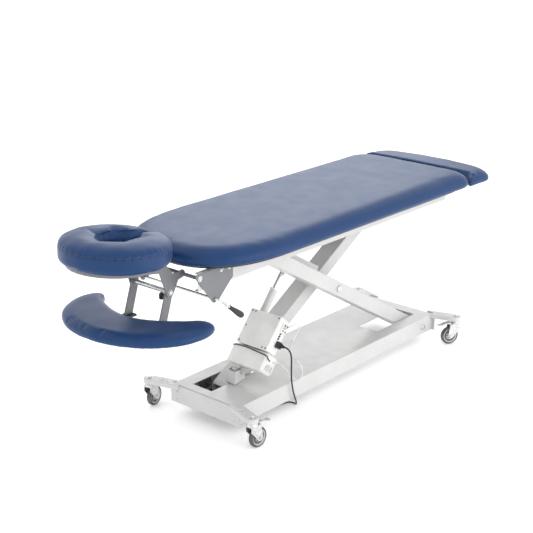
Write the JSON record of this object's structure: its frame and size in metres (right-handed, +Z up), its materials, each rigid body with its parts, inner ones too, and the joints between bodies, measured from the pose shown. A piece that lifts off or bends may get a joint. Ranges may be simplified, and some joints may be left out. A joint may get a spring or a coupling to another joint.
{
  "type": "treatment table",
  "caption": "Electric height-adjustable treatment table with scissor lift, castor base, long pad, horseshoe face cushion and arm shelf.",
  "frame": {"origin": "on the floor, under the middle of the whole table", "axes": "+X from the head end to the foot end, +Z up, -Y is the side with the mains lead and the lever"},
  "size_m": [2.382, 0.68, 0.9497],
  "materials": {
    "white_powder_coat": "satin",
    "grey_powder_coat": "satin",
    "zinc_plate": "satin",
    "chrome": "polished",
    "tyre": "matte",
    "hub_plastic": "satin",
    "actuator_plastic": "fine grain",
    "black_plastic": "satin",
    "black_cable": "matte",
    "grey_cable": "matte",
    "vinyl": "fine grain, semi-gloss",
    "plywood": "matte"
  },
  "bodies": {
    "base": {"base_tray": "white_powder_coat", "front_end_plate": "white_powder_coat", "rear_end_plate": "white_powder_coat", "front_near_castor_arm": "white_powder_coat", "front_far_castor_arm": "white_powder_coat", "rear_near_castor_arm": "white_powder_coat", "rear_far_castor_arm": "white_powder_coat", "lower_pivot_shaft": "zinc_plate", "mains_lead": "black_cable", "mains_lead_coil": "black_cable", "mains_plug": "black_plastic"},
    "arm_one": {"near_scissor_arm": "white_powder_coat", "centre_pivot_bolt": "zinc_plate", "upper_roller_axle": "grey_powder_coat", "upper_actuator_bracket": "grey_powder_coat"},
    "arm_two": {"far_scissor_arm": "white_powder_coat", "lower_roller_axle": "grey_powder_coat", "lower_actuator_bracket": "white_powder_coat"},
    "top_frame": {"near_frame_rail": "grey_powder_coat", "far_frame_rail": "grey_powder_coat", "frame_cross_member": "grey_powder_coat", "upper_pivot_shaft": "zinc_plate", "near_gusset": "grey_powder_coat", "far_gusset": "grey_powder_coat", "main_pad_board": "plywood", "main_pad": "vinyl"},
    "foot_extension": {"foot_pad": "vinyl", "foot_pad_slide": "grey_powder_coat"},
    "head_section": {"face_cradle": "grey_powder_coat", "face_cushion": "vinyl", "shelf_cross_tube": "zinc_plate"},
    "arm_shelf": {"near_shelf_strut": "grey_powder_coat", "far_shelf_strut": "grey_powder_coat", "arm_shelf_board": "plywood", "arm_shelf_pad": "vinyl"},
    "clamp_knob": {"clamp_knob": "black_plastic"},
    "lever": {"lever_shaft": "zinc_plate", "lever_grip": "black_plastic"},
    "actuator_body": {"actuator_tube": "white_powder_coat", "motor_housing": "actuator_plastic", "control_box": "actuator_plastic", "control_box_cover": "actuator_plastic", "mains_connector": "black_plastic", "motor_cable": "black_cable", "handset_cable": "grey_cable"},
    "actuator_rod": {"actuator_rod": "chrome"},
    "front_near_castor": {"front_near_fork": "zinc_plate"},
    "front_near_wheel": {"front_near_hub": "hub_plastic", "front_near_tyre": "tyre"},
    "front_near_pedal": {"front_near_brake_pedal": "zinc_plate"},
    "front_far_castor": {"front_far_fork": "zinc_plate"},
    "front_far_wheel": {"front_far_hub": "hub_plastic", "front_far_tyre": "tyre"},
    "rear_near_castor": {"rear_near_fork": "zinc_plate"},
    "rear_near_wheel": {"rear_near_hub": "hub_plastic", "rear_near_tyre": "tyre"},
    "rear_near_pedal": {"rear_near_brake_pedal": "zinc_plate"},
    "rear_far_castor": {"rear_far_fork": "zinc_plate"},
    "rear_far_wheel": {"rear_far_hub": "hub_plastic", "rear_far_tyre": "tyre"}
  },
  "joints": [
    {"name": "lift", "type": "hinge", "parent": "base", "child": "arm_one", "pos_m": [0.8155, 0, 0.088], "axis": [0, 1, 0], "range_deg": [-12.5, 6]},
    {"name": "scissor", "type": "hinge", "parent": "arm_one", "child": "arm_two", "pos_m": [0.23821, 0, 0.42805], "axis": [0, 1, 0], "range_deg": [-12, 25]},
    {"name": "top_level", "type": "hinge", "parent": "arm_two", "child": "top_frame", "pos_m": [0.78965, 0, 0.75287], "axis": [0, 1, 0], "range_deg": [-12.5, 6]},
    {"name": "foot_slide", "type": "slide", "parent": "top_frame", "child": "foot_extension", "axis": [1, 0, 0], "range_m": [0, 0.12]},
    {"name": "head_tilt", "type": "hinge", "parent": "top_frame", "child": "head_section", "pos_m": [-0.7365, 0, 0.757], "axis": [0, 1, 0], "range_deg": [-35, 8]},
    {"name": "shelf_tilt", "type": "hinge", "parent": "head_section", "child": "arm_shelf", "pos_m": [-0.8015, 0, 0.697], "axis": [0, 1, 0], "range_deg": [-10, 20]},
    {"name": "knob_turn", "type": "hinge", "parent": "head_section", "child": "clamp_knob", "pos_m": [-0.8015, -0.055, 0.697], "axis": [0, 0, -1], "range_deg": [0, 360]},
    {"name": "lever_pull", "type": "hinge", "parent": "top_frame", "child": "lever", "pos_m": [-0.6585, 0, 0.655], "axis": [0, 1, 0], "range_deg": [-25, 0], "stiffness_Nm_per_rad": 1},
    {"name": "actuator_pivot", "type": "hinge", "parent": "arm_two", "child": "actuator_body", "pos_m": [-0.3285, -0.004, 0.188], "axis": [0, 1, 0], "range_deg": [-2, 2]},
    {"name": "actuator_extend", "type": "slide", "parent": "actuator_body", "child": "actuator_rod", "axis": [0.6376, 0, 0.7703], "range_m": [-0.13, 0.07]},
    {"name": "front_near_swivel", "type": "hinge", "parent": "base", "child": "front_near_castor", "pos_m": [-0.5515, -0.297, 0.12], "axis": [0, 0, 1], "continuous": true},
    {"name": "front_near_roll", "type": "hinge", "parent": "front_near_castor", "child": "front_near_wheel", "pos_m": [-0.52154, -0.29857, 0.044], "axis": [0.0523, 0.9986, 0], "continuous": true},
    {"name": "front_near_brake", "type": "hinge", "parent": "front_near_castor", "child": "front_near_pedal", "pos_m": [-0.50956, -0.2992, 0.1085], "axis": [0.0523, 0.9986, 0], "range_deg": [0, 12]},
    {"name": "front_far_swivel", "type": "hinge", "parent": "base", "child": "front_far_castor", "pos_m": [-0.5515, 0.297, 0.12], "axis": [0, 0, 1], "continuous": true},
    {"name": "front_far_roll", "type": "hinge", "parent": "front_far_castor", "child": "front_far_wheel", "pos_m": [-0.52216, 0.30324, 0.044], "axis": [-0.2079, 0.9781, 0], "continuous": true},
    {"name": "rear_near_swivel", "type": "hinge", "parent": "base", "child": "rear_near_castor", "pos_m": [0.9345, -0.297, 0.12], "axis": [0, 0, 1], "continuous": true},
    {"name": "rear_near_roll", "type": "hinge", "parent": "rear_near_castor", "child": "rear_near_wheel", "pos_m": [0.90852, -0.282, 0.044], "axis": [-0.5, -0.866, 0], "continuous": true},
    {"name": "rear_near_brake", "type": "hinge", "parent": "rear_near_castor", "child": "rear_near_pedal", "pos_m": [0.89813, -0.276, 0.1085], "axis": [-0.5, -0.866, 0], "range_deg": [0, 12]},
    {"name": "rear_far_swivel", "type": "hinge", "parent": "base", "child": "rear_far_castor", "pos_m": [0.9345, 0.297, 0.12], "axis": [0, 0, 1], "continuous": true},
    {"name": "rear_far_roll", "type": "hinge", "parent": "rear_far_castor", "child": "rear_far_wheel", "pos_m": [0.90631, 0.28674, 0.044], "axis": [0.342, -0.9397, 0], "continuous": true}
  ],
  "couplings": [
    {"joint": "scissor", "follows": "lift", "ratio": -2},
    {"joint": "top_level", "follows": "lift", "ratio": 1},
    {"joint": "actuator_pivot", "follows": "lift", "ratio": -0.15},
    {"joint": "actuator_extend", "follows": "lift", "m_per_rad": 0.56}
  ]
}
